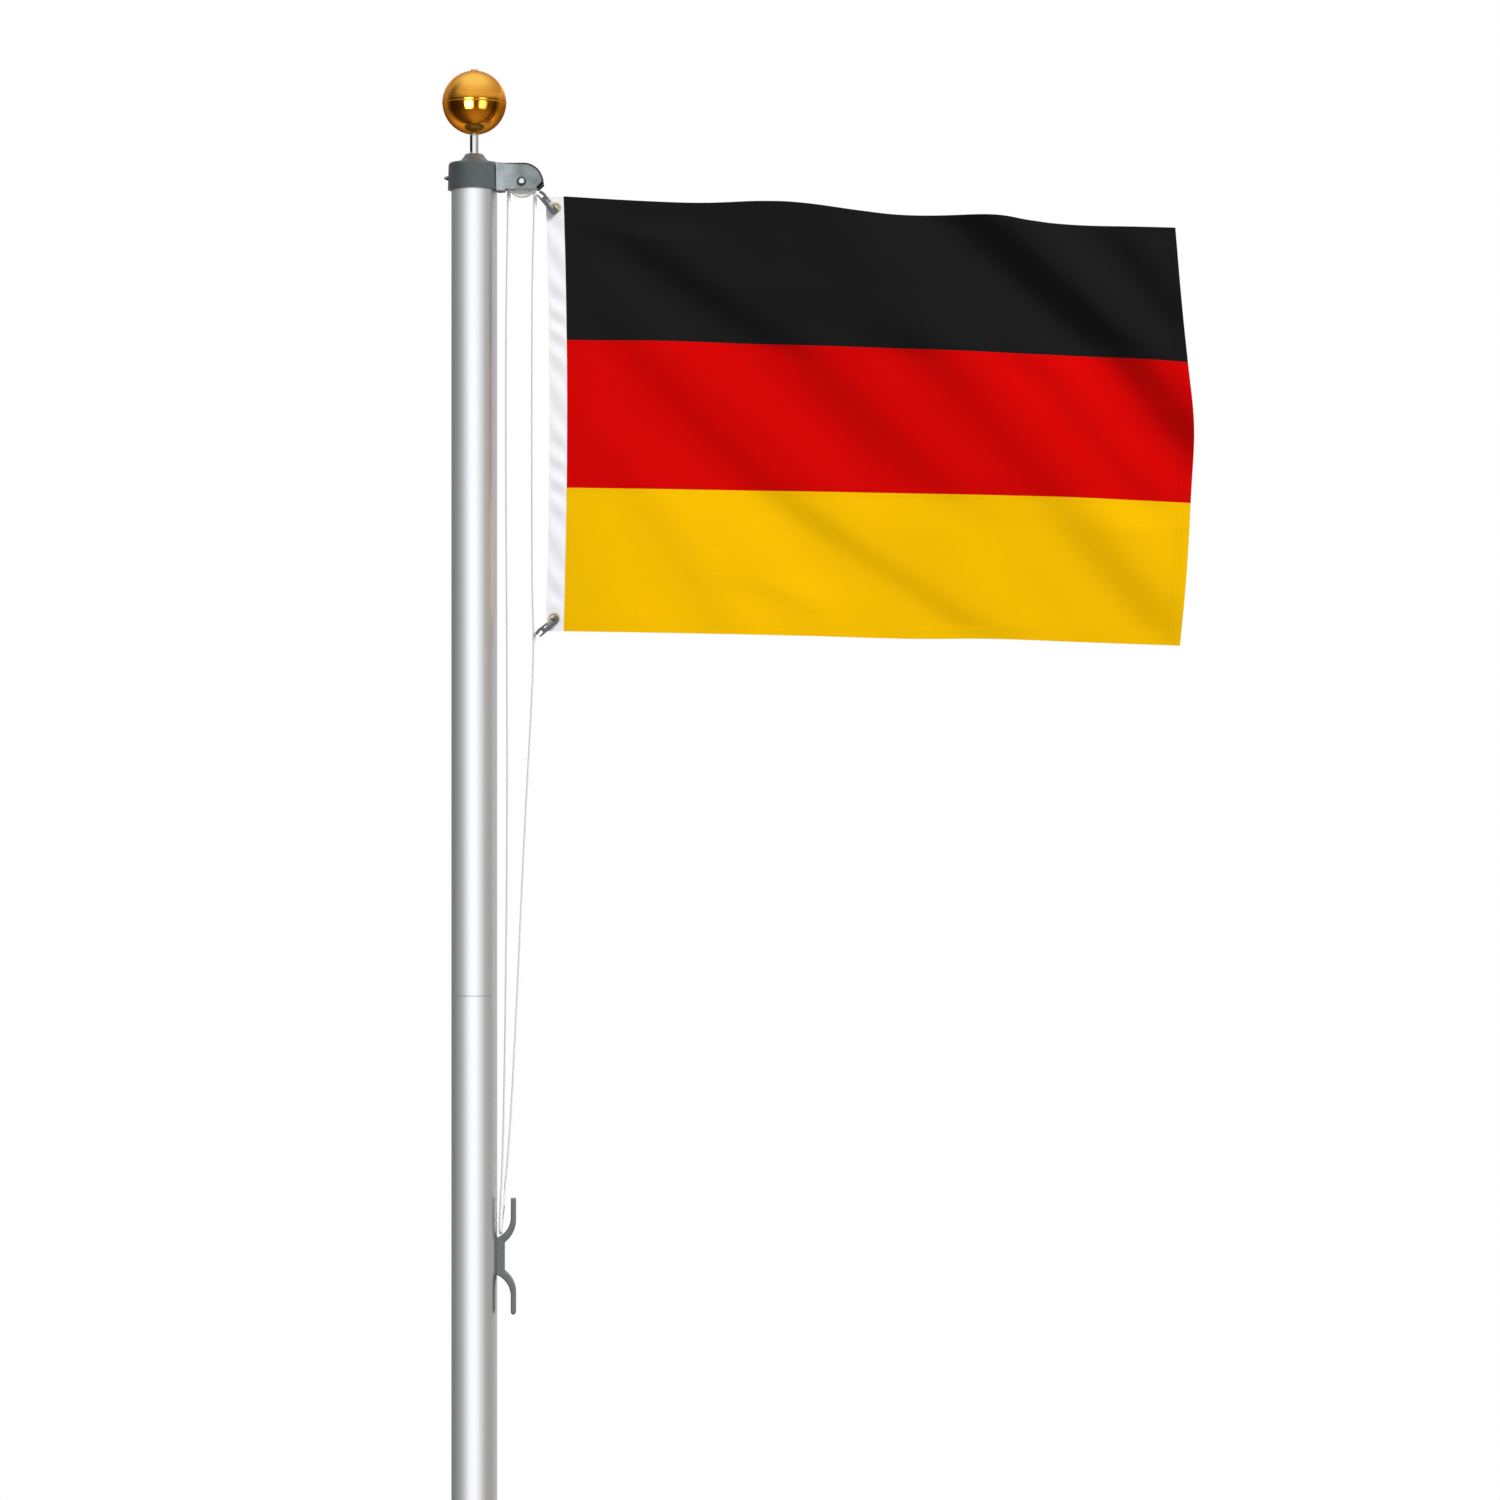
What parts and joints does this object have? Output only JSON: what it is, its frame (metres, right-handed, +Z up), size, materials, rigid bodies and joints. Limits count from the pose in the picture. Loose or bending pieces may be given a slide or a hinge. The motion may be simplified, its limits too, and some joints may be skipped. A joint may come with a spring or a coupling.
{
  "type": "flagpole",
  "caption": "Sectional metal pole with a ball finial, a sheave truck, a rope halyard, a horn cleat and a three-stripe flag on two snap clips.",
  "frame": {"origin": "centre of the pole's foot, on the ground", "axes": "+Z up along the pole, +X towards the flag's fly, the picture looks along +Y"},
  "size_m": [1.0357, 0.0894, 3.0502],
  "materials": {
    "anodised_pole": "satin anodised",
    "grey_casting": "satin dark grey casting",
    "plated_arm": "fine hammered pale grey",
    "steel_screw": "plated steel",
    "nylon_sheave": "natural nylon",
    "steel_pin": "bright plated",
    "chrome_rod": "polished plating",
    "gold_ball": "gold anodised, polished",
    "white_rope": "braided polyester",
    "grey_cleat": "satin grey casting",
    "grey_nylon": "moulded grey nylon",
    "brass_ring": "pressed brass",
    "white_canvas": "white duck tape",
    "black_cloth": "woven polyester",
    "red_cloth": "woven polyester",
    "gold_cloth": "woven polyester"
  },
  "bodies": {
    "pole": {"pole_section_bottom": "anodised_pole", "pole_section_middle": "anodised_pole", "pole_section_top": "anodised_pole", "truck_cap": "grey_casting", "truck_arm": "plated_arm", "truck_set_screw": "steel_screw", "sheave_pin": "steel_pin", "finial_spindle": "chrome_rod", "finial_ball_lower": "gold_ball", "finial_ball_upper": "gold_ball", "finial_top_plug": "gold_ball", "halyard_fall": "white_rope", "halyard_upper_run": "white_rope", "halyard_lower_run": "white_rope", "cleat": "grey_cleat", "cleat_screw_lower": "steel_screw", "cleat_screw_upper": "steel_screw"},
    "sheave": {"sheave": "nylon_sheave"},
    "flag": {"halyard_middle_run": "white_rope", "upper_clip": "grey_nylon", "lower_clip": "grey_nylon", "upper_grommet": "brass_ring", "lower_grommet": "brass_ring", "flag_header": "white_canvas", "flag_stripe_upper": "black_cloth", "flag_stripe_middle": "red_cloth", "flag_stripe_lower": "gold_cloth"}
  },
  "joints": [
    {"name": "flag_hoist", "type": "slide", "parent": "pole", "child": "flag", "axis": [0, 0, -1], "range_m": [0, 0.6], "deforming": ["halyard_lower_run", "halyard_upper_run"]},
    {"name": "sheave_spin", "type": "hinge", "parent": "pole", "child": "sheave", "pos_m": [0.066, 0, 2.894], "axis": [0, 1, 0], "continuous": true}
  ],
  "couplings": [
    {"joint": "sheave_spin", "follows": "flag_hoist", "rad_per_m": 55.249}
  ]
}
